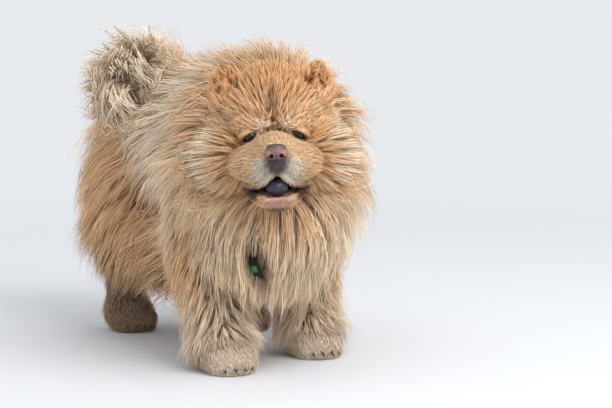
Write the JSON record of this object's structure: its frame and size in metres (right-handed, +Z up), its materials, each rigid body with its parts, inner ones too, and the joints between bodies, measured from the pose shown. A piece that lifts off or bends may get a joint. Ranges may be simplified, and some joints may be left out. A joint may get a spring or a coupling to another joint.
{
  "type": "chow chow dog model",
  "caption": "Life-size still model of a grown chow chow in mid walk, with a thick mane, a tail curled over the back and its head turned to the right.",
  "frame": {"origin": "on the floor under the middle of the dog's bounding box", "axes": "+Z up, -Y the way the dog walks, +X the dog's left"},
  "size_m": [0.424, 0.873, 0.5712],
  "materials": {
    "coat": "long soft golden cream fur",
    "pale_coat": "pale cream fur",
    "nose_leather": "pebbled, slightly moist",
    "mouth_skin": "moist blue-black skin",
    "eyeball": "wet, glossy",
    "webbing": "woven strap",
    "tag_plastic": "moulded, satin"
  },
  "bodies": {
    "root": {"torso": "coat", "neck": "coat", "head": "coat", "lower_jaw": "coat", "tongue": "mouth_skin", "nose": "nose_leather", "eye_left": "eyeball", "eye_right": "eyeball", "ear_left": "coat", "ear_right": "coat", "front_leg_left": "coat", "front_leg_right": "coat", "hind_thigh_left": "coat", "hind_thigh_right": "coat", "hind_hock_left": "coat", "hind_hock_right": "coat", "front_paw_left": "pale_coat", "front_paw_right": "pale_coat", "hind_paw_left": "pale_coat", "hind_paw_right": "pale_coat", "tail": "pale_coat", "strap": "webbing", "strap_tag": "tag_plastic"}
  },
  "joints": []
}
